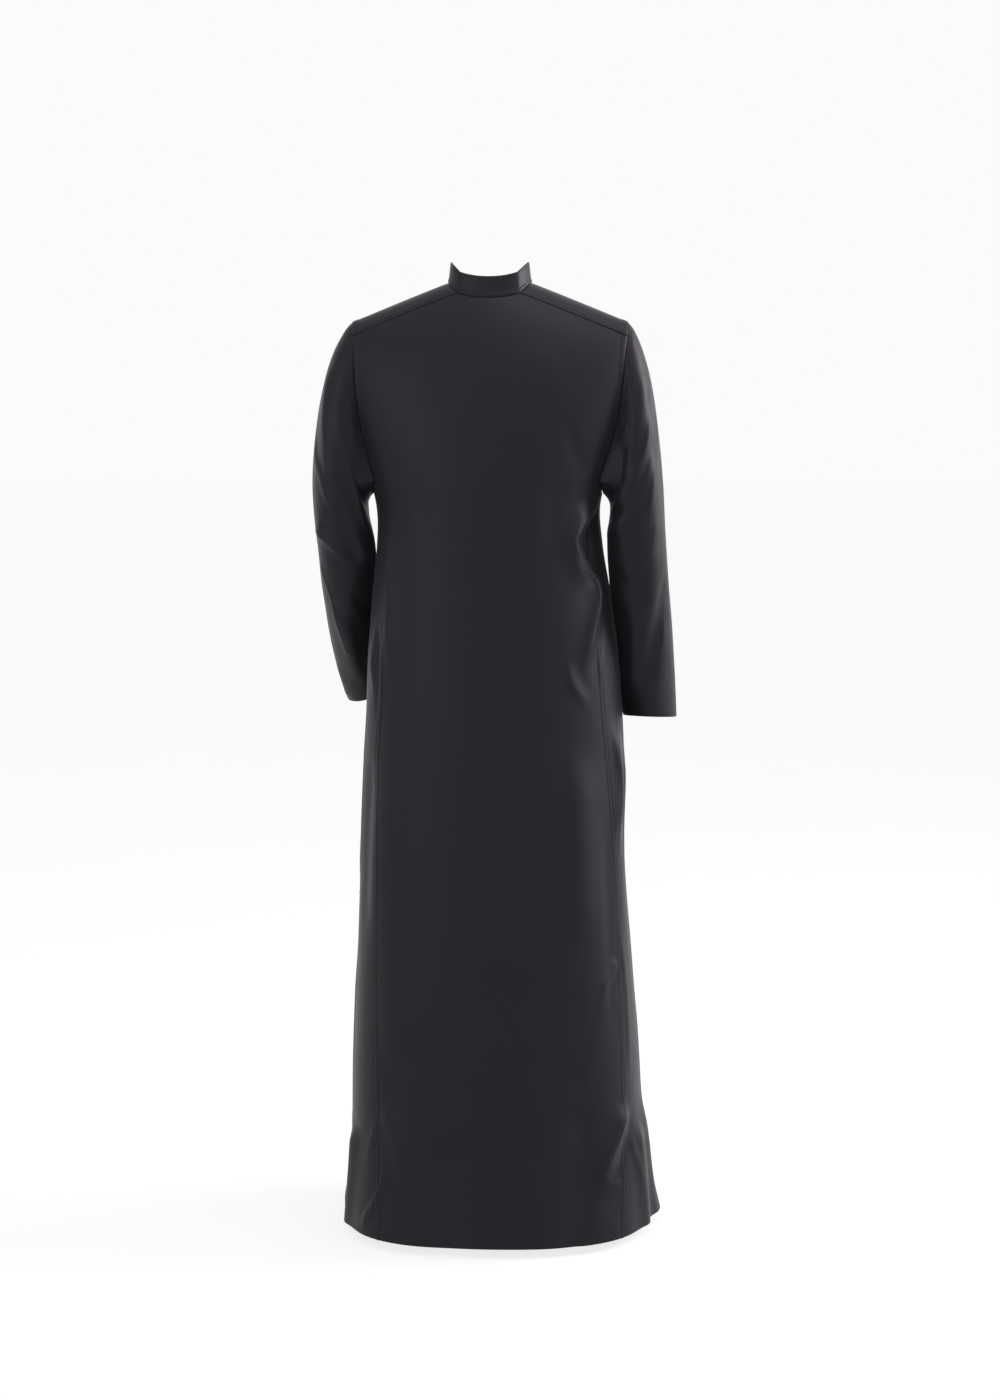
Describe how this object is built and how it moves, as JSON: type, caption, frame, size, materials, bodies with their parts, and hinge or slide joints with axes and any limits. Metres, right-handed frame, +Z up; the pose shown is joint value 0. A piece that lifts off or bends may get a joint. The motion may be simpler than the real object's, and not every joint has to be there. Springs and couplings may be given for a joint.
{
  "type": "kandura",
  "caption": "Ankle-length dark kandura with long straight sleeves, stand collar, buttoned front placket and flared side gores, hollow as worn",
  "frame": {"origin": "the middle of the neck opening, level with the shoulder line beside the neck, where the wearer's neck and shoulders carry the garment", "axes": "+Z up along the garment's length, +X to the wearer's left, the front faces -Y"},
  "size_m": [0.5685, 0.4277, 1.4923],
  "materials": {
    "cloth": "near-black smooth worsted suiting, softly sheened",
    "button": "polished dark polyester button"
  },
  "bodies": {
    "root": {"back": "cloth", "front": "cloth", "gore_back_left": "cloth", "gore_front_left": "cloth", "gore_back_right": "cloth", "gore_front_right": "cloth", "yoke_left": "cloth", "yoke_right": "cloth", "sleeve_left": "cloth", "sleeve_right": "cloth", "collar": "cloth", "pocket_left": "cloth", "placket": "cloth", "button_1": "button", "button_2": "button", "button_3": "button", "button_4": "button"}
  },
  "joints": []
}
